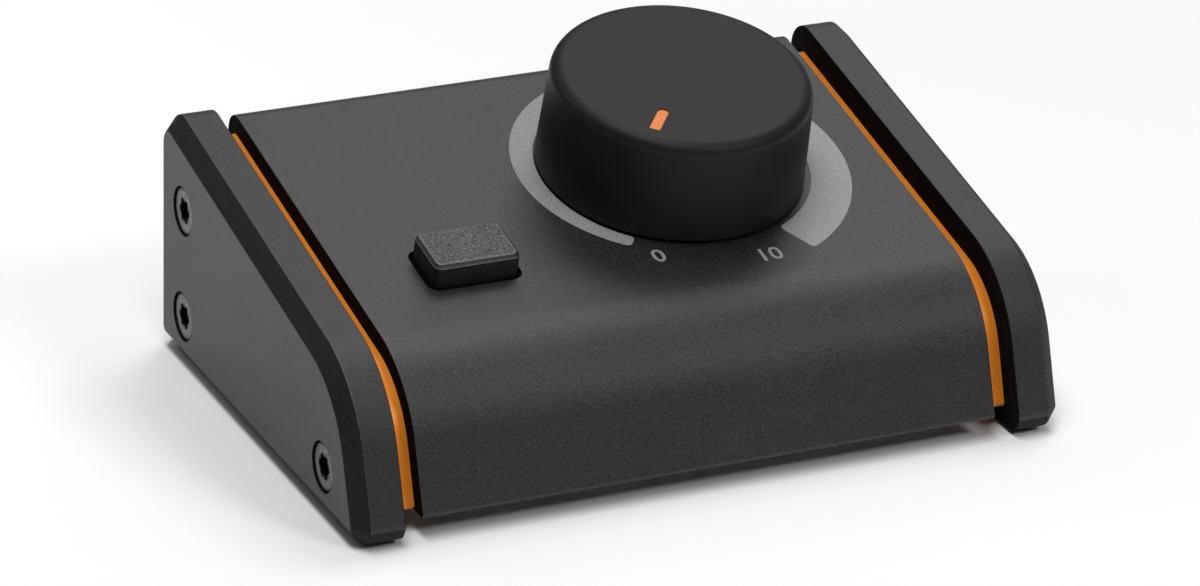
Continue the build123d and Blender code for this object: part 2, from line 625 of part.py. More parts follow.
with BuildPart() as knob_hub:
    with BuildSketch(knob_plane.offset(HUB_FLOOR)):
        Circle(HUB_RADIUS)
    extrude(amount=KNOB_INSIDE_TOP - HUB_FLOOR)
    with BuildSketch(knob_plane.offset(KNOB_INSIDE_TOP)):
        Circle(HUB_FLANGE_RADIUS)
    extrude(amount=-HUB_FLANGE)
    with BuildSketch(knob_plane.offset(HUB_FLOOR)):
        Circle(SHAFT_RADIUS + BORE_FIT)
        with Locations((0, SHAFT_FLAT + BORE_FIT)):
            Rectangle(2 * HUB_RADIUS, HUB_RADIUS, align=(Align.CENTER, Align.MIN), mode=Mode.SUBTRACT)
    extrude(amount=SHAFT_TOP + RUNNING_GAP - HUB_FLOOR, mode=Mode.SUBTRACT)
    with BuildSketch(knob_plane.offset(HUB_FLOOR)):
        with Locations((0, SHAFT_FLAT)):
            Rectangle(
                CLIP_WIDTH + 2 * BORE_FIT,
                CLIP_THICKNESS + 2 * BORE_FIT,
                align=(Align.CENTER, Align.MIN),
            )
    extrude(amount=CLIP_HEIGHT + RUNNING_GAP, mode=Mode.SUBTRACT)
knob_hub.part.label = "knob_hub"
export_step(knob_hub.part, "parts/knob_hub.step")

with BuildPart() as knob_clip:
    with BuildSketch(knob_plane.offset(HUB_FLOOR + RUNNING_GAP)):
        with Locations((0, SHAFT_FLAT + BORE_FIT)):
            Rectangle(CLIP_WIDTH, CLIP_THICKNESS, align=(Align.CENTER, Align.MIN))
    extrude(amount=CLIP_HEIGHT)
knob_clip.part.label = "knob_clip"
export_step(knob_clip.part, "parts/knob_clip.step")

# ---------------------------------------------------------------- potentiometer
with BuildPart() as pot_shaft:
    with BuildSketch(knob_section):
        with BuildLine():
            Polyline(
                (0, SHAFT_TOP),
                (SHAFT_RADIUS - SHAFT_CHAMFER, SHAFT_TOP),
                (SHAFT_RADIUS, SHAFT_TOP - SHAFT_CHAMFER),
                (SHAFT_RADIUS, COLLAR_TOP),
                (COLLAR_RADIUS, COLLAR_TOP),
                (COLLAR_RADIUS, COLLAR_BOTTOM),
                (SPINDLE_RADIUS, COLLAR_BOTTOM),
                (SPINDLE_RADIUS, WIPER_BOTTOM),
                (0, WIPER_BOTTOM),
                close=True,
            )
        make_face()
    revolve(axis=knob_axis)
    with BuildSketch(knob_plane.offset(FLAT_START)):
        with Locations((0, SHAFT_FLAT)):
            Rectangle(2 * SHAFT_RADIUS, SHAFT_RADIUS, align=(Align.CENTER, Align.MIN))
    extrude(amount=SHAFT_TOP - FLAT_START, mode=Mode.SUBTRACT)
pot_shaft.part.label = "pot_shaft"
export_step(pot_shaft.part, "parts/pot_shaft.step")

with BuildPart() as pot_wiper:
    with BuildSketch(knob_plane.offset(WIPER_BOTTOM)):
        Circle(WIPER_RADIUS)
        Circle(SPINDLE_RADIUS, mode=Mode.SUBTRACT)
    extrude(amount=WIPER)
pot_wiper.part.label = "pot_wiper"
export_step(pot_wiper.part, "parts/pot_wiper.step")

with BuildPart() as pot_bushing:
    with BuildSketch(knob_plane.offset(CASE_TOP)):
        Rectangle(POT_WIDTH, POT_LENGTH)
    extrude(amount=-POT_PLATE)
    with BuildSketch(knob_plane.offset(CASE_TOP)):
        Circle(BUSHING_RADIUS)
    extrude(amount=WALL + BUSHING_PROUD)
    with BuildSketch(knob_plane.offset(PLATE_BOTTOM)):
        Circle(SHAFT_RADIUS + SHAFT_GAP)
    extrude(amount=BUSHING_PROUD - PLATE_BOTTOM, mode=Mode.SUBTRACT)
pot_bushing.part.label = "pot_bushing"
export_step(pot_bushing.part, "parts/pot_bushing.step")

with BuildPart() as pot_case:
    with BuildSketch(knob_plane.offset(CASE_BOTTOM)):
        RectangleRounded(POT_WIDTH, POT_LENGTH, POT_CORNER)
    extrude(amount=PLATE_BOTTOM - CASE_BOTTOM)
    with BuildSketch(knob_plane.offset(CAVITY_BOTTOM)):
        Circle(POT_CAVITY_RADIUS)
    extrude(amount=PLATE_BOTTOM - CAVITY_BOTTOM, mode=Mode.SUBTRACT)
pot_case.part.label = "pot_case"
export_step(pot_case.part, "parts/pot_case.step")

with BuildPart() as pot_track:
    with BuildSketch(knob_plane.offset(CAVITY_BOTTOM)):
        Circle(POT_CAVITY_RADIUS - PRESS_GAP)
        Circle(SPINDLE_RADIUS, mode=Mode.SUBTRACT)
    extrude(amount=TRACK)
pot_track.part.label = "pot_track"
export_step(pot_track.part, "parts/pot_track.step")

with BuildPart() as pot_terminals:
    with BuildSketch(knob_plane.offset(TAG_LEVEL)):
        with Locations((0, -POT_LENGTH / 2 - TAG_REACH / 2)):
            with GridLocations(TAG_PITCH, 0, TAG_COUNT, 1):
                Rectangle(TAG_WIDTH, TAG_REACH)
    extrude(amount=TAG_THICKNESS)
pot_terminals.part.label = "pot_terminals"
export_step(pot_terminals.part, "parts/pot_terminals.step")

with BuildPart() as pot_washer:
    with BuildSketch(knob_plane):
        Circle(POT_WASHER_RADIUS)
        Circle(BUSHING_RADIUS + PANEL_HOLE_GAP, mode=Mode.SUBTRACT)
    extrude(amount=POT_WASHER)
pot_washer.part.label = "pot_washer"
export_step(pot_washer.part, "parts/pot_washer.step")

with BuildPart() as pot_nut:
    with BuildSketch(knob_plane.offset(POT_WASHER)):
        RegularPolygon(POT_NUT_FLATS / 2, NUT_SIDES, major_radius=False)
        Circle(BUSHING_RADIUS + THREAD_GAP, mode=Mode.SUBTRACT)
    extrude(amount=POT_NUT)
pot_nut.part.label = "pot_nut"
export_step(pot_nut.part, "parts/pot_nut.step")

with BuildPart() as pot_ribbon:
    with BuildSketch(Plane.YZ.offset(KNOB_X)):
        with BuildLine() as ribbon_path:
            FilletPolyline(*RIBBON_POINTS, radius=RIBBON_BEND)
        trace(line_width=RIBBON)
    extrude(amount=TAG_COUNT * TAG_PITCH / 2, both=True)
pot_ribbon.part.label = "pot_ribbon"
export_step(pot_ribbon.part, "parts/pot_ribbon.step")

with BuildPart() as pot_header:
    with BuildSketch(Plane.XY.offset(BOARD_TOP_Z)):
        with Locations((KNOB_X, RIBBON_POINTS[-1][0])):
            Rectangle(TAG_COUNT * TAG_PITCH + 2 * HEADER_MARGIN, POT_HEADER_LENGTH)
    extrude(amount=HEADER_HEIGHT)
pot_header.part.label = "pot_header"
export_step(pot_header.part, "parts/pot_header.step")

# ---------------------------------------------------------------- push button
with BuildPart() as mono_cap:
    with BuildSketch(mono_plane.offset(-MONO_SKIRT_DEPTH)):
        RectangleRounded(MONO_WIDTH, MONO_LENGTH, MONO_CORNER)
    extrude(amount=MONO_PROUD + MONO_SKIRT_DEPTH)
    chamfer(mono_cap.faces().sort_by(mono_axis)[-1].edges(), length=MONO_BEVEL)
    with BuildSketch(mono_plane.offset(-MONO_SKIRT_DEPTH)):
        Rectangle(MONO_WIDTH - 2 * MONO_SIDE, MONO_LENGTH - 2 * MONO_SIDE)
        Circle(STEM_BOSS_RADIUS, mode=Mode.SUBTRACT)
    extrude(amount=MONO_PROUD + MONO_SKIRT_DEPTH - MONO_ROOF, mode=Mode.SUBTRACT)
    with BuildSketch(mono_plane.offset(-MONO_SKIRT_DEPTH)):
        Rectangle(STEM_SIDE + 2 * PRESS_GAP, STEM_SIDE + 2 * PRESS_GAP)
    extrude(amount=STEM_GRIP, mode=Mode.SUBTRACT)
mono_cap.part.label = "mono_cap"
export_step(mono_cap.part, "parts/mono_cap.step")

with BuildPart() as switch_plunger:
    with BuildSketch(mono_plane.offset(FLANGE_TOP)):
        Circle(PLUNGER_FLANGE_RADIUS)
    extrude(amount=-PLUNGER_FLANGE)
    with BuildSketch(mono_plane.offset(FLANGE_TOP)):
        Rectangle(STEM_SIDE, STEM_SIDE)
    extrude(amount=STEM_GRIP - MONO_SKIRT_DEPTH - FLANGE_TOP)
switch_plunger.part.label = "switch_plunger"
export_step(switch_plunger.part, "parts/switch_plunger.step")

with BuildPart() as mono_spring:
    with BuildLine():
        spring_coil = Helix(
            pitch=SPRING_LENGTH / SPRING_TURNS,
            height=SPRING_LENGTH,
            radius=SPRING_RADIUS,
            center=mono_plane.offset(SPRING_BOTTOM).origin,
            direction=mono_plane.z_dir,
        )
    with BuildSketch(Plane(origin=spring_coil @ 0, z_dir=spring_coil % 0)):
        Circle(SPRING_WIRE_RADIUS)
    sweep(path=spring_coil)
mono_spring.part.label = "mono_spring"
export_step(mono_spring.part, "parts/mono_spring.step")

# ---------------------------------------------------------------- push switch
with BuildPart() as switch_housing:
    with BuildSketch(mono_plane.offset(-SWITCH_SEAT)):
        Rectangle(SWITCH_SIDE, SWITCH_SIDE)
    extrude(amount=SWITCH_HEIGHT)
    with BuildSketch(mono_plane.offset(-SWITCH_SEAT + SWITCH_WALL)):
        Rectangle(SWITCH_SIDE - 2 * SWITCH_WALL, SWITCH_SIDE - 2 * SWITCH_WALL)
    extrude(amount=SWITCH_HEIGHT - 2 * SWITCH_WALL, mode=Mode.SUBTRACT)
    with BuildSketch(mono_plane.offset(SWITCH_TOP)):
        Rectangle(STEM_SIDE + 2 * PLUNGER_GAP, STEM_SIDE + 2 * PLUNGER_GAP)
    extrude(amount=-2 * SWITCH_WALL, mode=Mode.SUBTRACT)
    with BuildSketch(mono_plane.offset(-SWITCH_SEAT)):
        with GridLocations(SWITCH_PIN_COLUMN, SWITCH_PIN_ROW, SWITCH_PIN_COLUMNS, SWITCH_PIN_ROWS):
            Circle(PIN_RADIUS + PIN_HOLE_GAP)
    extrude(amount=SWITCH_WALL, mode=Mode.SUBTRACT)
switch_housing.part.label = "switch_housing"
export_step(switch_housing.part, "parts/switch_housing.step")

with BuildPart() as switch_terminals:
    with BuildSketch(mono_plane.offset(SWITCH_BOARD_BOTTOM - PIN_STICK_OUT)):
        with GridLocations(SWITCH_PIN_COLUMN, SWITCH_PIN_ROW, SWITCH_PIN_COLUMNS, SWITCH_PIN_ROWS):
            Circle(PIN_RADIUS)
    extrude(amount=PIN_STICK_OUT + BOARD_THICKNESS + SWITCH_WALL + PIN_RISE)
switch_terminals.part.label = "switch_terminals"
export_step(switch_terminals.part, "parts/switch_terminals.step")

with BuildPart() as switch_board:
    with BuildSketch(mono_plane.offset(-SWITCH_SEAT)):
        Rectangle(SWITCH_BOARD_WIDTH, SWITCH_BOARD_LENGTH)
        with GridLocations(2 * STANDOFF_X, 0, 2, 1):
            Circle(M25_RADIUS + PIN_HOLE_GAP, mode=Mode.SUBTRACT)
        with GridLocations(SWITCH_PIN_COLUMN, SWITCH_PIN_ROW, SWITCH_PIN_COLUMNS, SWITCH_PIN_ROWS):
            Circle(PIN_RADIUS + PIN_HOLE_GAP, mode=Mode.SUBTRACT)
    extrude(amount=-BOARD_THICKNESS)
switch_board.part.label = "switch_board"
export_step(switch_board.part, "parts/switch_board.step")

with BuildPart() as switch_standoffs:
    with BuildSketch(mono_plane.offset(-SWITCH_SEAT)):
        with GridLocations(2 * STANDOFF_X, 0, 2, 1):
            Circle(STANDOFF_RADIUS)
    extrude(amount=SWITCH_SEAT - WALL)
    with BuildSketch(mono_plane.offset(-WALL)):
        with GridLocations(2 * STANDOFF_X, 0, 2, 1):
            Circle(STUD_RADIUS)
    extrude(amount=STUD_LENGTH)
    with BuildSketch(mono_plane.offset(-SWITCH_SEAT)):
        with GridLocations(2 * STANDOFF_X, 0, 2, 1):
            Circle(M25_RADIUS + THREAD_GAP)
    extrude(amount=M25_LENGTH - BOARD_THICKNESS + M25_HOLE_EXTRA, mode=Mode.SUBTRACT)
switch_standoffs.part.label = "switch_standoffs"
export_step(switch_standoffs.part, "parts/switch_standoffs.step")

with BuildPart() as switch_board_screws:
    with BuildSketch(mono_plane.offset(SWITCH_BOARD_BOTTOM)):
        with GridLocations(2 * STANDOFF_X, 0, 2, 1):
            Circle(M25_HEAD_RADIUS)
    extrude(amount=-M25_HEAD_HEIGHT)
    with BuildSketch(mono_plane.offset(SWITCH_BOARD_BOTTOM)):
        with GridLocations(2 * STANDOFF_X, 0, 2, 1):
            Circle(M25_RADIUS)
    extrude(amount=M25_LENGTH)
switch_board_screws.part.label = "switch_board_screws"
export_step(switch_board_screws.part, "parts/switch_board_screws.step")

with BuildPart() as switch_plug:
    with BuildSketch(mono_plane.offset(-SWITCH_SEAT)):
        with Locations((PLUG_X, PLUG_Y)):
            Rectangle(PLUG_WIDTH, PLUG_LENGTH)
    extrude(amount=PLUG_HEIGHT)
switch_plug.part.label = "switch_plug"
export_step(switch_plug.part, "parts/switch_plug.step")

with BuildPart() as switch_lead:
    with BuildLine():
        lead_path = FilletPolyline(*LEAD_POINTS, radius=LEAD_BEND)
    with BuildSketch(Plane(origin=lead_path @ 0, z_dir=lead_path % 0)):
        Circle(LEAD_RADIUS)
    sweep(path=lead_path)
switch_lead.part.label = "switch_lead"
export_step(switch_lead.part, "parts/switch_lead.step")

with BuildPart() as switch_header:
    with BuildSketch(Plane.XY.offset(BOARD_TOP_Z)):
        with Locations((LEAD_POINTS[-1].X, LEAD_POINTS[-1].Y)):
            Rectangle(SWITCH_HEADER_LENGTH, PLUG_LENGTH)
    extrude(amount=SWITCH_HEADER_HEIGHT)
switch_header.part.label = "switch_header"
export_step(switch_header.part, "parts/switch_header.step")

# ---------------------------------------------------------------- main board
with BuildPart() as main_board:
    with BuildSketch(Plane.XY.offset(BOARD_BASE_Z)):
        with Locations((0, (BOARD_FRONT_Y + BOARD_REAR_Y) / 2)):
            Rectangle(2 * BOARD_HALF_X, BOARD_REAR_Y - BOARD_FRONT_Y)
        with Locations(*SPACER_POINTS):
            Circle(M3_CLEAR_RADIUS, mode=Mode.SUBTRACT)
        with Locations(*[leaf_pin_point(x, leaf) for x in JACK_XS for leaf in range(LEAF_COUNT)]):
            Circle(LEAF_HOLE_RADIUS, mode=Mode.SUBTRACT)
    extrude(amount=BOARD_THICKNESS)
main_board.part.label = "main_board"
export_step(main_board.part, "parts/main_board.step")

with BuildPart() as board_spacers:
    with BuildSketch(Plane.XY.offset(FLOOR_TOP_Z)):
        with Locations(*SPACER_POINTS):
            Circle(M3_HEAD_RADIUS)
            Circle(M3_CLEAR_RADIUS, mode=Mode.SUBTRACT)
    extrude(amount=SPACER_HEIGHT)
board_spacers.part.label = "board_spacers"
export_step(board_spacers.part, "parts/board_spacers.step")

with BuildPart() as board_screws:
    with BuildSketch(Plane.XY.offset(BOARD_TOP_Z)):
        with Locations(*SPACER_POINTS):
            Circle(M3_HEAD_RADIUS)
    extrude(amount=BOARD_SCREW_HEAD)
    with BuildSketch(Plane.XY.offset(BODY_BASE_Z)):
        with Locations(*SPACER_POINTS):
            Circle(M3_RADIUS)
    extrude(amount=BOARD_TOP_Z - BODY_BASE_Z)
    with BuildSketch(Plane.XY.offset(BOARD_TOP_Z + BOARD_SCREW_HEAD)):
        with Locations(*SPACER_POINTS):
            Rectangle(CROSS_LENGTH, CROSS_WIDTH)
            Rectangle(CROSS_WIDTH, CROSS_LENGTH)
    extrude(amount=-CROSS_DEPTH, mode=Mode.SUBTRACT)
board_screws.part.label = "board_screws"
export_step(board_screws.part, "parts/board_screws.step")

with BuildPart() as summing_resistors:
    lying = Location((0, 0, BOARD_TOP_Z + RESISTOR_RADIUS), (90, 0, 0))
    row_y = (SPACER_REAR_Y + SPACER_FRONT_Y) / 2
    for i in range(RESISTOR_COUNT):
        x = KNOB_X + RESISTOR_FROM_KNOB + (i - (RESISTOR_COUNT - 1) / 2) * RESISTOR_PITCH
        with Locations(Location((x, row_y, 0)) * lying):
            Cylinder(RESISTOR_RADIUS, RESISTOR_LENGTH)
            Cylinder(RESISTOR_LEAD_RADIUS, RESISTOR_SPAN)
        with Locations(
            (x, row_y - RESISTOR_SPAN / 2, BOARD_TOP_Z),
            (x, row_y + RESISTOR_SPAN / 2, BOARD_TOP_Z),
        ):
            Cylinder(RESISTOR_LEAD_RADIUS, RESISTOR_RADIUS, align=STANDING)
summing_resistors.part.label = "summing_resistors"
export_step(summing_resistors.part, "parts/summing_resistors.step")

# ---------------------------------------------------------------- rear sockets
for number, jack_x in enumerate(JACK_XS, start=1):
    jack_mouth = Plane(origin=(jack_x, JACK_TIP_Y, JACK_Z), x_dir=(-1, 0, 0), z_dir=(0, 1, 0))
    with BuildPart() as jack_housing:
        with Locations((jack_x, (JACK_INNER_Y + REAR_INSIDE_Y) / 2, JACK_Z)):
            Box(JACK_WIDTH, JACK_LENGTH, JACK_HEIGHT)
        with Locations((jack_x, (JACK_CAVITY_BACK_Y + JACK_CAVITY_FRONT_Y) / 2, JACK_Z)):
            Box(
                JACK_WIDTH - 2 * JACK_WALL,
                JACK_CAVITY_FRONT_Y - JACK_CAVITY_BACK_Y,
                JACK_HEIGHT - 2 * JACK_WALL,
                mode=Mode.SUBTRACT,
            )
        with BuildSketch(jack_mouth):
            Circle(JACK_BUSHING_RADIUS)
        extrude(amount=-(JACK_TIP_Y - REAR_INSIDE_Y))
        with BuildSketch(jack_mouth):
            Circle(JACK_BORE_RADIUS)
        extrude(amount=-(JACK_TIP_Y - JACK_CAVITY_FRONT_Y), mode=Mode.SUBTRACT)
        with BuildSketch(jack_mouth.offset(-(JACK_TIP_Y - JACK_INNER_Y))):
            Circle(JACK_TIP_HOLE_RADIUS)
        extrude(amount=JACK_BACK, mode=Mode.SUBTRACT)
        with Locations(*[(*leaf_pin_point(jack_x, leaf), BOARD_TOP_Z) for leaf in range(LEAF_COUNT)]):
            Cylinder(LEAF_HOLE_RADIUS, JACK_WALL, align=STANDING, mode=Mode.SUBTRACT)
    jack_housing.part.label = f"jack_housing_{number}"
    export_step(jack_housing.part, f"parts/jack_housing_{number}.step")

    with BuildPart() as jack_contacts:
        for leaf in range(LEAF_COUNT):
            pin_x, pin_y = leaf_pin_point(jack_x, leaf)
            side = LEAF_SIDES[leaf]
            with BuildSketch(Plane.XY.offset(JACK_Z - LEAF_WIDTH / 2)):
                with BuildLine():
                    Polyline(
                        (pin_x, pin_y - LEAF_PIN_WIDTH / 2),
                        (pin_x, pin_y + LEAF_PIN_WIDTH / 2),
                        (jack_x + side * (JACK_BORE_RADIUS - LEAF_SAG), pin_y + LEAF_REACH - LEAF_TAIL),
                        (jack_x + side * (JACK_BORE_RADIUS + LEAF_SAG), pin_y + LEAF_REACH),
                    )
                trace(line_width=LEAF_THICKNESS)
            extrude(amount=LEAF_WIDTH)
            with Locations((pin_x, pin_y, BOARD_BASE_Z - PIN_STICK_OUT)):
                Box(LEAF_THICKNESS, LEAF_PIN_WIDTH, JACK_Z - BOARD_BASE_Z + PIN_STICK_OUT, align=STANDING)
    jack_contacts.part.label = f"jack_contacts_{number}"
    export_step(jack_contacts.part, f"parts/jack_contacts_{number}.step")

with BuildPart() as jack_washers:
    with BuildSketch(rear_plane):
        with GridLocations(JACK_PITCH, 0, JACK_COUNT, 1):
            Circle(JACK_WASHER_RADIUS)
            Circle(JACK_BUSHING_RADIUS + JACK_HOLE_GAP, mode=Mode.SUBTRACT)
    extrude(amount=JACK_WASHER)
jack_washers.part.label = "jack_washers"
export_step(jack_washers.part, "parts/jack_washers.step")

with BuildPart() as jack_nuts:
    with BuildSketch(rear_plane.offset(JACK_WASHER)):
        with GridLocations(JACK_PITCH, 0, JACK_COUNT, 1):
            RegularPolygon(JACK_NUT_FLATS / 2, NUT_SIDES, major_radius=False)
            Circle(JACK_BUSHING_RADIUS + THREAD_GAP, mode=Mode.SUBTRACT)
    extrude(amount=JACK_NUT)
jack_nuts.part.label = "jack_nuts"
export_step(jack_nuts.part, "parts/jack_nuts.step")
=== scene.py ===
import json
from math import atan2, cos, pi, radians, sin

import bmesh
import bpy
from mathutils import Matrix, Vector


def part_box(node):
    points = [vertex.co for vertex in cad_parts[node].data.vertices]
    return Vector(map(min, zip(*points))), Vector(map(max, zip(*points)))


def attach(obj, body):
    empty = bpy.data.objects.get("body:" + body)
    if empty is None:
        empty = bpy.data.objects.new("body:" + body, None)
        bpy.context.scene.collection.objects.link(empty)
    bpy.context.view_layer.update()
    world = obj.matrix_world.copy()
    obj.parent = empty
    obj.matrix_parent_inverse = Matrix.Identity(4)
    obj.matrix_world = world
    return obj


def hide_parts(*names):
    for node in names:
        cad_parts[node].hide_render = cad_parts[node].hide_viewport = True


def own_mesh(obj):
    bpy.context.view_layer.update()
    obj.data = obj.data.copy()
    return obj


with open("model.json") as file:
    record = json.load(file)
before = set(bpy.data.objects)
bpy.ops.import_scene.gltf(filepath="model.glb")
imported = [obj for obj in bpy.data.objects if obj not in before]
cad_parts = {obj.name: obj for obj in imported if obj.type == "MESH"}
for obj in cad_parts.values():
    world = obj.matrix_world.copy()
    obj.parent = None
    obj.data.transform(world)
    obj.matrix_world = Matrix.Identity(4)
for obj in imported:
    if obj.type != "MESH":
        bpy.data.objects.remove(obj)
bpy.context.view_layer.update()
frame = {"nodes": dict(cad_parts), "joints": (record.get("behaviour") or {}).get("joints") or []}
MM = 0.001


# ---------------------------------------------------------------- body shell
# The body is one folded and welded metal wedge, open below. It is blasted, primed and sprayed with a
# hard black texture coat. Pale specks are painted into its grain as glints, and its eased edges are
# painted paler as highlights.
class Field:
    """A value that varies over a surface. Arithmetic on it adds the Math nodes."""

    def __init__(self, mixing, socket):
        self.mixing = mixing
        self.socket = socket

    def maths(self, operation, *others, clamp=False):
        """A Math node whose first value is this one."""
        values = dict(enumerate((self, *others)))
        return self.mixing.add("Math", {"operation": operation, "use_clamp": clamp}, values)

    def __add__(self, other):
        return self.maths("ADD", other)

    def __sub__(self, other):
        return self.maths("SUBTRACT", other)

    def __rsub__(self, other):
        return self.maths("MULTIPLY_ADD", -1.0, other)

    def __mul__(self, other):
        return self.maths("MULTIPLY", other)

    __radd__, __rmul__ = __add__, __mul__

    def kept(self):
        """The value held between 0 and 1."""
        return self.maths("MULTIPLY", 1.0, clamp=True)

    def between(self, low, high):
        """0 below low, 1 above high, and smooth in between."""
        settings = {"interpolation_type": "SMOOTHSTEP"}
        return self.mixing.add("MapRange", settings, {"Value": self, "From Min": low, "From Max": high})


class Mixing:
    """A node tree being filled."""

    def __init__(self, tree):
        self.tree = tree

    def add(self, kind, settings=None, sockets=None, output=0):
        """Adds a node: its type, its settings, then the value or link of each socket."""
        node = self.tree.nodes.new("ShaderNode" + kind)
        for setting, value in (settings or {}).items():
            setattr(node, setting, value)
        for socket, value in (sockets or {}).items():
            if isinstance(value, Field):
                self.tree.links.new(value.socket, node.inputs[socket])
            else:
                node.inputs[socket].default_value = value
        return Field(self, node.outputs[output])


class Finish(Mixing):
    """A surface finish: its material, its main shader, and the nodes that vary it."""

    def __init__(self, name, **surface):
        self.material = bpy.data.materials.new(name)
        self.material.use_nodes = True
        super().__init__(self.material.node_tree)
        self.shader = self.tree.nodes["Principled BSDF"]
        for socket, value in surface.items():
            self.shader.inputs[socket.replace("_", " ")].default_value = value
        self.place = self.add("TexCoord", output="Object")

    def grain(self, size_mm, detail=2.0, roughness=0.5, stretch=(1, 1, 1)):
        """Cloudy noise about size_mm across, from 0 to 1, drawn out by stretch along each axis."""
        scale = [1 / length for length in stretch]
        drawn = self.add("Mapping", {"vector_type": "POINT"}, {"Vector": self.place, "Scale": scale})
        sockets = {"Vector": drawn, "Scale": 1 / (size_mm * MM)}
        sockets.update({"Detail": detail, "Roughness": roughness})
        return self.add("TexNoise", {"noise_dimensions": "3D"}, sockets)

    def specks(self, size_mm):
        """1 at many scattered points about size_mm apart, falling to 0 between them."""
        sockets = {"Vector": self.place, "Scale": 1 / (size_mm * MM)}
        return 1.0 - self.add("TexVoronoi", {"feature": "F1"}, sockets)

    def along(self, axis):
        """The place on the object along X, Y or Z, in millimetres."""
        return self.add("SeparateXYZ", {}, {"Vector": self.place}, output=axis) * (1 / MM)

    def tint(self, mask, first, second):
        """first where mask is 0, second where it is 1. Either may be a colour or a Field."""
        colours = [value if isinstance(value, Field) else (*value, 1.0) for value in (first, second)]
        settings = {"data_type": "RGBA", "blend_type": "MIX"}
        return self.add("Mix", settings, {0: mask, 6: colours[0], 7: colours[1]}, output=2)

    def vary(self, **inputs):
        """Links varying values to the main shader, such as Roughness or Base_Color."""
        for name, value in inputs.items():
            self.tree.links.new(value.socket, self.shader.inputs[name.replace("_", " ")])

    def relief(self, height, depth_mm, strength=1.0):
        """A bump in the surface: height from 0 to 1 stands for depth_mm."""
        sockets = {"Height": height, "Distance": depth_mm * MM, "Strength": strength}
        self.vary(Normal=self.add("Bump", {}, sockets, output="Normal"))

    def onto(self, *nodes):
        """Gives CAD nodes this finish in place of their plain one."""
        for node in nodes:
            frame["nodes"][node].data.materials[0] = self.material


COAT_DARK = (0.008, 0.008, 0.009)
COAT_PALE = (0.047, 0.047, 0.049)
CLOUD_MM = 18.0
CLOUD_SHEEN = 0.08


def texture_coat(name, dark, pale, grain_mm=0.34, roughness=0.45, lift=0.5, rough_grain=0.2, **surface):
    """Sprayed texture coat: a pebbled skin with a faint cloudiness; its bump tops and scattered specks
    are painted pale as glints.
    """
    coat = Finish(name, **surface)
    pebbles = coat.grain(grain_mm, detail=3.0, roughness=0.62)
    fines = coat.grain(grain_mm / 3, detail=1.0)
    cloud = coat.grain(CLOUD_MM)
    # Pale specks painted into the colour as glints.
    sparkle = coat.specks(grain_mm * 2.2).between(0.62, 0.92)
    tone = (pebbles.between(0.3, 0.75) * 0.5 + sparkle * 0.4 + (cloud - 0.5) * 0.3).kept()
    coat.vary(Base_Color=coat.tint(tone, dark, pale))
    smoothest = roughness - CLOUD_SHEEN / 2 - rough_grain / 2
    coat.vary(Roughness=pebbles * rough_grain + cloud * CLOUD_SHEEN + smoothest)
    coat.relief(pebbles * 0.75 + fines * 0.25, grain_mm * lift, strength=0.7)
    return coat


def alone(piece):
    """Makes piece the only one that an operator acts on, out of edit mode."""
    if bpy.context.object and bpy.context.object.mode == "EDIT":
        bpy.ops.object.mode_set(mode="OBJECT")
    bpy.ops.object.select_all(action="DESELECT")
    piece.select_set(True)
    bpy.context.view_layer.objects.active = piece


def edit(piece, pick="DESELECT"):
    """Opens piece for editing, with nothing or everything selected, and returns its edit mesh."""
    alone(piece)
    bpy.ops.object.mode_set(mode="EDIT")
    bpy.ops.mesh.select_all(action=pick)
    return bmesh.from_edit_mesh(piece.data)


CREASE = radians(38)


def finished(piece, body="cabinet", *finishes):
    """Shades a modelled piece, gives it its finishes and hangs it on its body."""
    alone(piece)
    bpy.ops.object.shade_smooth_by_angle(angle=CREASE)
    even = piece.modifiers.new("even_normals", "WEIGHTED_NORMAL")
    even.keep_sharp = True
    bpy.ops.object.modifier_apply(modifier=even.name)
    for finish in finishes:
        piece.data.materials.append(finish.material)
    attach(piece, body)


def merged_copy(node, name, *finishes):
    """A copy of a CAD node with its loose triangles joined, in finishes of its own."""
    piece = bpy.data.objects.new(name, frame["nodes"][node].data.copy())
    bpy.context.scene.collection.objects.link(piece)
    piece.data.materials.clear()
    for finish in finishes:
        piece.data.materials.append(finish.material)
    edit(piece, "SELECT")
    bpy.ops.mesh.customdata_custom_splitnormals_clear()
    bpy.ops.mesh.remove_doubles(threshold=0.002 * MM)
    return piece


COPLANAR = radians(0.2)
SHARP_EDGE = radians(24)


def eased_copy(node, name, ease_mm, face_finish, edge_finish, body="cabinet", rings=2):
    """A copy of a CAD node whose outer arrises are eased over, as tumbling and paint leave them."""
    piece = merged_copy(node, name, face_finish, edge_finish)
    bpy.ops.mesh.dissolve_limited(angle_limit=COPLANAR)
    mesh = edit(piece)
    for arris in mesh.edges:
        if len(arris.link_faces) == 2 and arris.calc_face_angle_signed(0) > SHARP_EDGE:
            arris.select_set(True)
    bmesh.update_edit_mesh(piece.data)
    bpy.ops.mesh.bevel(
        offset=ease_mm * MM, segments=rings, affect="EDGES", clamp_overlap=True, material=1
    )
    finished(piece, body)
    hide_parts(node)
    return piece


body_coat = texture_coat("body_coat", COAT_DARK, COAT_PALE, roughness=0.36)
# The eased edges get a paler coat: a painted highlight along each edge.
edge_highlight_coat = texture_coat(
    "edge_highlight_coat", (0.022, 0.022, 0.024), (0.085, 0.085, 0.088), roughness=0.4, lift=0.15
)
body = eased_copy("body_shell", "body_wedge", 0.25, body_coat, edge_highlight_coat)

# The wedge's cut ends stand inside the grooves. They are painted a flat black there, as the shade in
# the grooves.
body_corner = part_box("body_shell")[1]
CUT_ENDS_FROM_X = body_corner.x / MM - 0.1
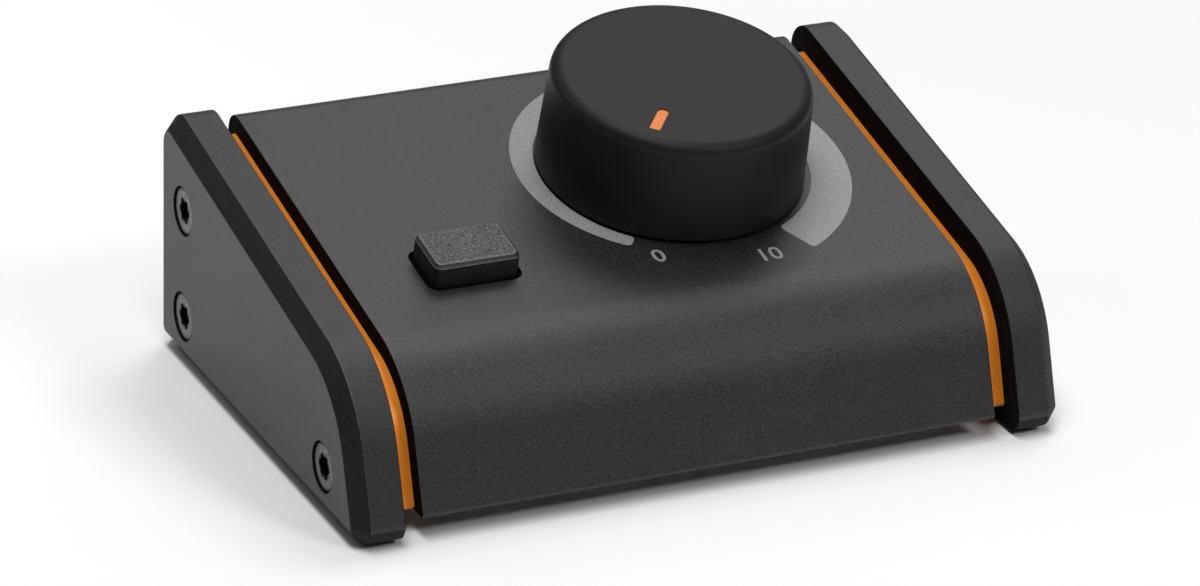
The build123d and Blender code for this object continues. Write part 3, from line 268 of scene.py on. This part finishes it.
# Painted shade: a flat near-black with a faint random grain, for faces in the grooves and the
# countersinks.
painted_shade_black = Finish("painted_shade_black", Specular_IOR_Level=0.02)
dust = painted_shade_black.grain(0.5, detail=3.0)
painted_shade_black.vary(Base_Color=painted_shade_black.tint(dust, (0.005, 0.005, 0.005), (0.011, 0.011, 0.011)))
painted_shade_black.vary(Roughness=dust * 0.2 + 0.7)
painted_shade_black.relief(dust, 0.05, strength=0.4)


def paint(piece, finish, picked):
    """Another finish for the faces that picked() chooses by centre, in millimetres, and normal."""
    piece.data.materials.append(finish.material)
    for face in piece.data.polygons:
        if picked(face.center / MM, face.normal):
            face.material_index = len(piece.data.materials) - 1


def on_cut_end(centre, normal):
    """The flat end face of the wedge."""
    return abs(normal.x) > 0.95 and abs(centre.x) > CUT_ENDS_FROM_X


# The cut ends get the painted shade black.
paint(body, painted_shade_black, on_cut_end)


# ---------------------------------------------------------------- side plates
# Each side plate is 8 mm aluminium with a machined chamfer round its outer face, sprayed with the same
# coat as the body and clamped to it by three screws. The chamfer and the underside are painted darker
# as shade, and the inner face and the countersinks are painted a flat black as shade.
CHAMFER, EASE = 2.4, 0.3
plate_inner, plate_outer = (corner.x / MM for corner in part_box("side_plate_right"))
INNER_FACE_X = plate_inner + EASE + 0.02
CHAMFER_FROM_X = plate_outer - CHAMFER
UNDERSIDE_TO_X = CHAMFER_FROM_X + EASE / 3

# The y and z of each screw's axis, from the box round the screws' heads.
HEAD_RADIUS, COUNTERSINK_RADIUS = 3.7, 4.6
heads_low, heads_high = (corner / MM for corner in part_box("side_screws"))
rear_y, front_y = heads_high.y - HEAD_RADIUS, heads_low.y + HEAD_RADIUS
upper_z, lower_z = heads_high.z - HEAD_RADIUS, heads_low.z + HEAD_RADIUS
SCREW_AXES = ((rear_y, upper_z), (rear_y, lower_z), (front_y, lower_z))

plate_coat = texture_coat("plate_coat", COAT_DARK, (0.038, 0.038, 0.040), grain_mm=0.3)
# A darker, duller coat painted onto the chamfer and the underside as shade.
painted_shade_coat = texture_coat(
    "painted_shade_coat", (0.004, 0.004, 0.0045), (0.02, 0.02, 0.021), roughness=0.6, Specular_IOR_Level=0.25
)


def on_chamfer(centre, normal):
    """The slanting band round the plate's outer face."""
    return abs(centre.x) > CHAMFER_FROM_X and 0.5 < abs(normal.x) < 0.9


def unsprayed(centre, normal):
    """The plate's inner face with its eased edge, and the cone and the eased rim of each countersink:
    painted flat black as shade.
    """
    near = min(Vector((centre.y - y, centre.z - z)).length for y, z in SCREW_AXES)
    return abs(centre.x) < INNER_FACE_X or (near < COUNTERSINK_RADIUS and abs(normal.x) < 0.995)


def on_underside(centre, normal):
    """The faces between the inner face and the chamfer that look down at the table."""
    return normal.z < -0.05 and INNER_FACE_X < abs(centre.x) < UNDERSIDE_TO_X


for side in ("left", "right"):
    plate = eased_copy("side_plate_" + side, "end_plate_" + side, EASE, plate_coat, edge_highlight_coat)
    # Painted shade: the chamfer and the faces looking down at the table get the darker coat.
    paint(plate, painted_shade_coat, on_chamfer)
    # Painted shade: flat black on the inner face and in the countersinks.
    paint(plate, painted_shade_black, unsprayed)
    paint(plate, painted_shade_coat, on_underside)


# ---------------------------------------------------------------- accent plates
# A thinner aluminium plate stands set back between each side plate and the body. It is anodised
# a satin orange and shows as a bright line at the bottom of the black groove.
ORANGE_DEEP, ORANGE_BRIGHT = (1.0, 0.25, 0.010), (1.0, 0.34, 0.028)

orange_anodised = Finish("orange_anodised", Metallic=0.1)
bloom = orange_anodised.grain(0.16, detail=3.0)
streaks = orange_anodised.grain(0.5, stretch=(0.3, 6, 6))
dye = orange_anodised.tint(bloom * 0.6 + streaks * 0.4, ORANGE_DEEP, ORANGE_BRIGHT)
orange_anodised.vary(Base_Color=dye)
orange_anodised.vary(Roughness=bloom * 0.12 + 0.30)
orange_anodised.relief(bloom, 0.02, strength=0.5)
for side in ("left", "right"):
    eased_copy("accent_plate_" + side, "orange_plate_" + side, 0.2, orange_anodised, orange_anodised)


# ---------------------------------------------------------------- side screws
# Six countersunk steel screws, blackened, with a six-lobe socket pressed into each head. The flat of
# the head is a paler scuffed grey, and the socket, its mouth and the rim round the head are painted
# near black as shade.
MOUTH_RADIUS, RIM_RADIUS = 2.0, 3.3
SOCKET_WALL_X, HEAD_FLAT_X = heads_high.x - 0.7, heads_high.x - 0.1

screw_black = Finish("screw_black", Metallic=0.75)
scuff = screw_black.grain(0.5, detail=4.0, roughness=0.6)
from_the_side = {0: screw_black.place, 1: (0, 1, 1)}
flattened = screw_black.add("VectorMath", {"operation": "MULTIPLY"}, from_the_side, output="Vector")
first, second, third = (
    screw_black.add(
        "VectorMath", {"operation": "DISTANCE"}, {0: flattened, 1: (0, y * MM, z * MM)}, output="Value"
    )
    for y, z in SCREW_AXES
)
from_axis = first.maths("MINIMUM", second.maths("MINIMUM", third)) * (1 / MM)
past_mouth = from_axis.between(MOUTH_RADIUS, MOUTH_RADIUS + 0.25)
inside_rim = from_axis.between(RIM_RADIUS + 0.2, RIM_RADIUS)
outer = screw_black.along("X").maths("ABSOLUTE").between(SOCKET_WALL_X, HEAD_FLAT_X)
head_grey = screw_black.tint(scuff.between(0.3, 0.7), (0.06, 0.06, 0.063), (0.19, 0.19, 0.195))
head_flat = outer * (past_mouth * inside_rim)
# Outside the head's flat the colour is painted near black: shade in the socket and round the rim.
screw_black.vary(Base_Color=screw_black.tint(head_flat, (0.004, 0.004, 0.004), head_grey))
screw_black.vary(Roughness=scuff * 0.24 + 0.3)
screw_black.relief(screw_black.grain(0.12), 0.02, strength=0.4)
screw_black.onto("side_screws")


# ---------------------------------------------------------------- base plate, its screws and feet
# A zinc-plated steel sheet closes the body from below. Its screws are the same steel, and four
# moulded rubber feet are pressed onto it.
def turned_metal(name, dark, pale, roughness=0.3, streak=(6, 6, 0.4)):
    """Bare or plated metal: a cool mottle and the fine streaks of a tool or a roller."""
    metal = Finish(name, Metallic=1.0)
    mottle = metal.grain(2.2, detail=4.0, roughness=0.6)
    lines = metal.grain(0.12, stretch=streak)
    metal.vary(Base_Color=metal.tint(mottle * 0.6 + lines * 0.4, dark, pale))
    metal.vary(Roughness=mottle * 0.16 + lines * 0.14 + (roughness - 0.13))
    metal.relief(lines, 0.02, strength=0.35)
    return metal


zinc = turned_metal(
    "zinc_plate", (0.42, 0.43, 0.45), (0.62, 0.62, 0.60), roughness=0.38, streak=(1, 1, 1)
)
zinc.onto("bottom_plate", "bottom_screws")

rubber = Finish("foot_rubber", Specular_IOR_Level=0.3)
skin = rubber.grain(0.25, detail=3.0)
scuffs = rubber.grain(3.0, detail=4.0).between(0.55, 0.75)
rubber.vary(Base_Color=rubber.tint(scuffs, (0.012, 0.012, 0.012), (0.035, 0.034, 0.032)))
rubber.vary(Roughness=skin * 0.2 + 0.62)
rubber.relief(skin, 0.05, strength=0.5)
rubber.onto("rubber_feet")


# ---------------------------------------------------------------- potentiometer
# The volume control: a moulded case with a nickel bushing that a nut and washer hold to the
# panel, a steel shaft, a carbon track under a wiper, brass tags and a grey flat lead.
def moulding(name, dark, pale, grain_mm=0.2, roughness=0.45, lift_mm=0.03):
    """Moulded plastic with the spark-eroded skin of its mould."""
    plastic = Finish(name)
    skin = plastic.grain(grain_mm, detail=3.0)
    flow = plastic.grain(6.0, detail=3.0)
    plastic.vary(Base_Color=plastic.tint(skin * 0.4 + flow * 0.6, dark, pale))
    plastic.vary(Roughness=skin * 0.16 + flow * 0.1 + (roughness - 0.13))
    plastic.relief(skin, lift_mm, strength=0.45)
    return plastic


case_plastic = moulding("case_plastic", (0.018, 0.018, 0.020), (0.034, 0.034, 0.037))
bright_nickel = turned_metal(
    "bright_nickel", (0.52, 0.50, 0.46), (0.70, 0.67, 0.62), roughness=0.26
)
ground_steel = turned_metal(
    "ground_steel", (0.40, 0.40, 0.41), (0.58, 0.58, 0.58), streak=(8, 8, 0.3)
)
tinned_brass = turned_metal(
    "tinned_brass", (0.55, 0.42, 0.20), (0.78, 0.66, 0.40), roughness=0.32
)
carbon = moulding("carbon_track", (0.010, 0.010, 0.010), (0.03, 0.028, 0.026), roughness=0.35)
stem_nylon = moulding("stem_nylon", (0.50, 0.48, 0.43), (0.62, 0.60, 0.55), roughness=0.4)
case_plastic.onto("pot_case")
bright_nickel.onto("pot_bushing", "pot_nut")
zinc.onto("pot_washer")
ground_steel.onto("pot_shaft")
tinned_brass.onto("pot_terminals")
carbon.onto("pot_track")
stem_nylon.onto("pot_wiper")

# The flat leads are ribbed along their length, one rib to each wire.
WIRE_PITCH_MM = 0.9
lead_skin = Finish("grey_lead", Specular_IOR_Level=0.45)
ply = (lead_skin.along("X") * (2 * pi / WIRE_PITCH_MM)).maths("SINE")
soft = lead_skin.grain(0.4, detail=3.0)
lead_skin.vary(Base_Color=lead_skin.tint(soft, (0.20, 0.20, 0.21), (0.29, 0.29, 0.30)))
lead_skin.vary(Roughness=soft * 0.2 + 0.4)
lead_skin.relief(ply * 0.4 + soft * 0.2 + 0.4, 0.12, strength=0.7)
lead_skin.onto("pot_ribbon", "switch_lead")


# ---------------------------------------------------------------- rear sockets
# Four jack sockets for 6.35 mm plugs stand on the main board, in cases of the same moulding with
# sprung brass contacts. A nickel nut and a zinc-plated washer hold each to the rear wall.
jack_housings = ["jack_housing_%d" % number for number in range(1, 5)]
jack_contacts = ["jack_contacts_%d" % number for number in range(1, 5)]
case_plastic.onto(*jack_housings)
tinned_brass.onto(*jack_contacts)
bright_nickel.onto("jack_nuts")
zinc.onto("jack_washers")


# ---------------------------------------------------------------- knob
# A hollow moulded shell with a slight taper, sprayed with a soft-touch lacquer that has a faint
# sheen and almost no grain. Its hub and steel clip grip the shaft; the pointer is an inlay.
knob_lacquer = Finish("knob_lacquer", Specular_IOR_Level=0.25)
mist = knob_lacquer.grain(0.12)
haze = knob_lacquer.grain(9.0, detail=3.0)
knob_lacquer.vary(Base_Color=knob_lacquer.tint(haze, (0.004, 0.004, 0.0044), (0.010, 0.010, 0.0105)))
knob_lacquer.vary(Roughness=mist * 0.12 + haze * 0.1 + 0.4)
knob_lacquer.relief(mist, 0.02, strength=0.35)
knob_lacquer.onto("knob_shell")

moulding("hub_nylon", (0.02, 0.02, 0.021), (0.045, 0.045, 0.047)).onto("knob_hub")
spring_steel = turned_metal("spring_steel", (0.34, 0.34, 0.35), (0.52, 0.52, 0.53), roughness=0.24)
spring_steel.onto("knob_clip")

pointer_paint = texture_coat(
    "pointer_paint", (0.78, 0.19, 0.03), (0.92, 0.32, 0.09), grain_mm=0.15, roughness=0.5
)
pointer_paint.onto("knob_pointer")


# ---------------------------------------------------------------- push button
# A solid little key, moulded in black with a grain on its top and a rolled bevel round it. Pale glints
# are painted into its grain, the two rolled edges of the bevel are painted paler as highlights, and its
# walls and the flat of its bevel are painted near black as shade. It slides in its cut-out on the stem
# of the switch below.
joints = {joint["name"]: joint for joint in frame["joints"]}
out_of_panel = -Vector(joints["mono_press"]["axis"])
# How far a face leans out of the panel: 1 on the key's top, 0.71 on its bevel and 0 on its walls.
WALL_LEAN = 0.3
BEVEL_LEAN_FROM, BEVEL_LEAN_TO = 0.69, 0.73

# The key's top: pale glints painted into its grain.
key_grain_glints = texture_coat(
    "key_grain_glints",
    (0.0, 0.0, 0.0),
    (0.29, 0.29, 0.295),
    grain_mm=0.32,
    roughness=0.42,
    lift=1.2,
    rough_grain=0.6,
)
# The key's rolled edges: painted paler as highlight lines.
key_edge_highlight = texture_coat(
    "key_edge_highlight", (0.07, 0.07, 0.071), (0.26, 0.26, 0.262), grain_mm=0.3, roughness=0.3, lift=0.3
)
# Painted shade: near black for the key's walls and the flat of its bevel.
key_shade_black = moulding("key_shade_black", (0.003, 0.003, 0.0032), (0.008, 0.008, 0.0085), roughness=0.5)
key = eased_copy("mono_cap", "push_key", 0.14, key_grain_glints, key_edge_highlight, body="button", rings=3)


def beside_top(centre, normal):
    """The key's walls and the flat of its bevel, painted near black as shade between the two edges
    painted pale as highlights.
    """
    lean = normal.dot(out_of_panel)
    return lean < WALL_LEAN or BEVEL_LEAN_FROM < lean < BEVEL_LEAN_TO


paint(key, key_shade_black, beside_top)

# The switch has a case of the same moulding as the sockets, a nylon stem and brass tags.
case_plastic.onto("switch_housing")
stem_nylon.onto("switch_plunger")
tinned_brass.onto("switch_terminals")

# A steel coil stands on the floor of the switch and pushes the key back up.
coil = merged_copy("mono_spring", "return_coil", spring_steel)
finished(coil, "cabinet")
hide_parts("mono_spring")
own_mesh(coil)


# ---------------------------------------------------------------- circuit boards
# Two glass-epoxy boards under green solder mask, pale over the copper tracks, on zinc-plated screws
# and spacers. White nylon headers take the leads, and resistors stand beside the potentiometer.
TRACK_PITCH_MM = 14.0
board_mask = Finish("board_mask", Coat_Weight=0.4, Coat_Roughness=0.15)
tracks = board_mask.add(
    "TexBrick",
    {"offset": 0.35, "squash": 1.7, "squash_frequency": 3},
    {
        "Vector": board_mask.place,
        "Scale": 1 / (TRACK_PITCH_MM * MM),
        "Mortar Size": 0.03,
        "Mortar Smooth": 0.1,
        "Brick Width": 0.9,
        "Row Height": 0.22,
    },
    output="Fac",
)
weave = board_mask.grain(0.3, detail=2.0)
laminate = board_mask.tint(weave, (0.010, 0.085, 0.035), (0.016, 0.115, 0.05))
board_mask.vary(Base_Color=board_mask.tint(tracks, laminate, (0.035, 0.22, 0.09)))
board_mask.vary(Roughness=weave * 0.1 + 0.3)
board_mask.relief(tracks * 0.7 + weave * 0.15, 0.05, strength=0.6)
board_mask.onto("main_board", "switch_board")
zinc.onto("board_screws", "board_spacers", "switch_board_screws", "switch_standoffs")

moulding("header_nylon", (0.66, 0.64, 0.58), (0.76, 0.74, 0.68), roughness=0.38).onto(
    "pot_header", "switch_header", "switch_plug"
)

# Each resistor's beige body carries dark rings; its bent wire legs are tinned.
RESISTOR_HALF_MM = 3.1
RINGS_PER_MM, RING_SHIFT, RING_FROM = 0.7, 0.25, 0.62
resistor_paint = Finish("resistor_paint", Coat_Weight=0.3)
low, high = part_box("summing_resistors")
past = resistor_paint.along("Y") - (low.y + high.y) / 2 / MM
body_mask = past.maths("ABSOLUTE").between(RESISTOR_HALF_MM + 0.1, RESISTOR_HALF_MM)
ring_phase = (past * RINGS_PER_MM + RING_SHIFT).maths("FRACT")
rings = ring_phase.between(RING_FROM, RING_FROM + 0.06) * body_mask
fired = resistor_paint.grain(0.4, detail=3.0)
glaze = resistor_paint.tint(fired, (0.55, 0.40, 0.24), (0.66, 0.50, 0.32))
ringed = resistor_paint.tint(rings, glaze, (0.12, 0.03, 0.02))
resistor_paint.vary(Base_Color=resistor_paint.tint(body_mask, (0.60, 0.60, 0.60), ringed))
resistor_paint.vary(Metallic=1.0 - body_mask, Roughness=fired * 0.2 + 0.3)
resistor_paint.relief(fired, 0.03, strength=0.5)
resistor_paint.onto("summing_resistors")


# ---------------------------------------------------------------- printed scale
# The volume ramp is screen printed on the panel in pale grey ink, thin at the quiet end and wide
# at the loud end. A plain 0 and 10 stand past its two ends.
KNOB_FOOT = Vector(joints["volume_turn"]["pos_m"])
PANEL_TILT = atan2(-out_of_panel.y, out_of_panel.z)
INK_MM, INK_SPREAD_MM = 0.03, 0.06
RAMP_SHIFT = (0.7, 0.35)
RAMP_INNER, RAMP_THIN, RAMP_WIDE = 22.3, 24.9, 29.45
RAMP_FROM, RAMP_TO = -140.5, 155.0
RAMP_CORNER = 0.8
RAMP_STEPS = 148
# The angle of each number from straight up the slope, and its reach from the knob's axis.
QUIET_SPOT, LOUD_SPOT = (-152.0, 25.4), (168.5, 26.9)
SCALE_NUMBER_MM = 3.1
DIGIT_TO_FONT_SIZE = 0.7

ink = Finish("scale_ink")
mottle = ink.grain(0.22, detail=3.0, roughness=0.65)
ink.vary(Base_Color=ink.tint(mottle.between(0.3, 0.7), (0.20, 0.20, 0.20), (0.36, 0.36, 0.355)))
ink.vary(Roughness=mottle * 0.15 + 0.5)
ink.relief(mottle, 0.06, strength=0.4)


def on_panel(right_mm, up_slope_mm):
    """From a place on a flat drawing, centred on the knob's axis, to the sloping panel."""
    tilt = Matrix.Translation(KNOB_FOOT) @ Matrix.Rotation(PANEL_TILT, 4, "X")
    return tilt @ Matrix.Translation((right_mm * MM, up_slope_mm * MM, 0))


bpy.ops.mesh.primitive_grid_add(x_subdivisions=RAMP_STEPS, y_subdivisions=1, size=1)
ramp = bpy.context.object
ramp.name = "volume_ramp"
for point in ramp.data.vertices:
    turned = radians(RAMP_FROM + (RAMP_TO - RAMP_FROM) * (point.co.x + 0.5))
    outer = RAMP_THIN + (RAMP_WIDE - RAMP_THIN) * (point.co.x + 0.5)
    reach = (outer if point.co.y > 0 else RAMP_INNER) * MM
    point.co = (reach * sin(turned), reach * cos(turned), 0)
mesh = edit(ramp)
for point in mesh.verts:
    if len(point.link_edges) == 2:
        point.select_set(True)
bmesh.update_edit_mesh(ramp.data)
bpy.ops.mesh.bevel(offset=RAMP_CORNER * MM, segments=5, affect="VERTICES")
bpy.ops.mesh.select_all(action="SELECT")
bpy.ops.mesh.extrude_region_move(TRANSFORM_OT_translate={"value": (0, 0, INK_MM * MM)})
bpy.ops.mesh.select_all(action="SELECT")
bpy.ops.mesh.normals_make_consistent(inside=False)
bpy.ops.object.mode_set(mode="OBJECT")
ramp.data.transform(on_panel(*RAMP_SHIFT))
finished(ramp, "cabinet", ink)


def printed_number(name, text, height_mm, place):
    """A plain number in the scale's ink, centred on place."""
    bpy.ops.object.select_all(action="DESELECT")
    bpy.ops.object.text_add()
    number = bpy.context.object
    number.data.body = text
    number.data.size = height_mm * MM / DIGIT_TO_FONT_SIZE
    number.data.align_x, number.data.align_y = "CENTER", "CENTER"
    number.data.offset = INK_SPREAD_MM * MM
    number.data.extrude = INK_MM * MM / 2
    bpy.ops.object.convert(target="MESH")
    number.name = name
    number.data.transform(place @ Matrix.Translation((0, 0, INK_MM * MM / 2)))
    edit(number, "SELECT")
    bpy.ops.mesh.remove_doubles(threshold=0.001 * MM)
    finished(number, "cabinet", ink)


for name, text, spot in (("number_quiet", "0", QUIET_SPOT), ("number_loud", "10", LOUD_SPOT)):
    turned, reach = radians(spot[0]), spot[1]
    printed_number(name, text, SCALE_NUMBER_MM, on_panel(reach * sin(turned), reach * cos(turned)))

# The rear sockets are numbered 1 to 4 from the left, as read from behind.
SOCKET_NUMBER_MM, SOCKET_NUMBER_Z = 3.0, 25.5
upright_rear = Matrix(((-1, 0, 0), (0, 0, 1), (0, 1, 0))).transposed().to_4x4()
for index, housing in enumerate(reversed(jack_housings), 1):
    low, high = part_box(housing)
    place = Matrix.Translation(((low.x + high.x) / 2, body_corner.y, SOCKET_NUMBER_Z * MM))
    printed_number("number_socket_%d" % index, str(index), SOCKET_NUMBER_MM, place @ upright_rear)


# ---------------------------------------------------------------- floor, lights and world
# A white table in a dim room. A screen glows above and behind on the right, and four soft boxes
# hang level: one behind, one above the left groove, one well in front, and a weak one on the left.
FLOOR_RADIUS = 6.0
floor_paint = Finish("floor_paint", Specular_IOR_Level=0.0, Roughness=0.9)
floor_tone = floor_paint.grain(600.0)
floor_paint.vary(Base_Color=floor_paint.tint(floor_tone, (0.96, 0.96, 0.96), (0.98, 0.98, 0.98)))
bpy.ops.object.select_all(action="DESELECT")
bpy.ops.mesh.primitive_circle_add(
    vertices=96, radius=FLOOR_RADIUS, fill_type="NGON", location=(0, 0, 0)
)
floor = bpy.context.object
floor.name = "studio_floor"
floor.data.materials.append(floor_paint.material)


def soft_box(name, width, depth, watts, place):
    """A flat rectangular lamp that hangs level at place and shines down. Sizes in metres."""
    lamp = bpy.data.lights.new(name, "AREA")
    lamp.shape = "RECTANGLE"
    lamp.size, lamp.size_y, lamp.energy = width, depth, watts
    holder = bpy.data.objects.new(name, lamp)
    bpy.context.scene.collection.objects.link(holder)
    holder.location = place


soft_box("box_behind", 0.6, 0.5, 4.2, (0.48, 0.52, 1.12))
soft_box("box_above", 0.35, 1.2, 10.2, (-0.24, -0.28, 1.26))
soft_box("box_in_front", 0.40, 0.3, 4.3, (0.46, -0.80, 0.78))
soft_box("box_left", 0.12, 0.12, 0.14, (-0.20, 0.20, 0.22))

# The screen is the bright part of the room. Its glow starts where a direction's cosine with the
# screen's centre is GLOW_EDGE, and is full at the centre.
ROOM_DARK, ROOM_BRIGHT = 0.04, 0.62
GLOW_EDGE = 0.6
world = bpy.data.worlds.new("studio_room")
world.use_nodes = True
bpy.context.scene.world = world
room = Mixing(world.node_tree)
facing = room.add("TexCoord", output="Generated")
screen = Vector((0.40, 0.52, 0.75)).normalized()
towards = room.add("VectorMath", {"operation": "DOT_PRODUCT"}, {0: facing, 1: screen}, output="Value")
glow = towards.between(GLOW_EDGE, 1.0) * (ROOM_BRIGHT - ROOM_DARK) + ROOM_DARK
world.node_tree.links.new(glow.socket, world.node_tree.nodes["Background"].inputs["Strength"])
world.node_tree.nodes["Background"].inputs["Color"].default_value = (1, 1, 1, 1)


# ---------------------------------------------------------------- camera
# A long lens a little above the top panel, looking at the left end and the front.
CAMERA_TARGET = Vector((-5.783, -10.70, 20.965)) * MM
CAMERA_TURN, CAMERA_HEIGHT, CAMERA_ROLL = radians(-25.548), radians(24.134), radians(1.933)
CAMERA_DISTANCE = 896.2 * MM

lens = bpy.data.cameras.new("studio_camera")
lens.sensor_width = 36.0
lens.lens = 172.5
lens.clip_start = 0.01
camera = bpy.data.objects.new("studio_camera", lens)
bpy.context.scene.collection.objects.link(camera)
back = Vector(
    (sin(CAMERA_TURN) * cos(CAMERA_HEIGHT), -cos(CAMERA_TURN) * cos(CAMERA_HEIGHT), sin(CAMERA_HEIGHT))
)
level = (-back).cross(Vector((0, 0, 1))).normalized()
upright = level.cross(-back)
right = cos(CAMERA_ROLL) * level + sin(CAMERA_ROLL) * upright
up = cos(CAMERA_ROLL) * upright - sin(CAMERA_ROLL) * level
camera.matrix_world = Matrix.Translation(CAMERA_TARGET + back * CAMERA_DISTANCE) @ Matrix(
    (right, up, back)
).transposed().to_4x4()
bpy.context.scene.camera = camera
bpy.context.scene.view_settings.view_transform = "Standard"
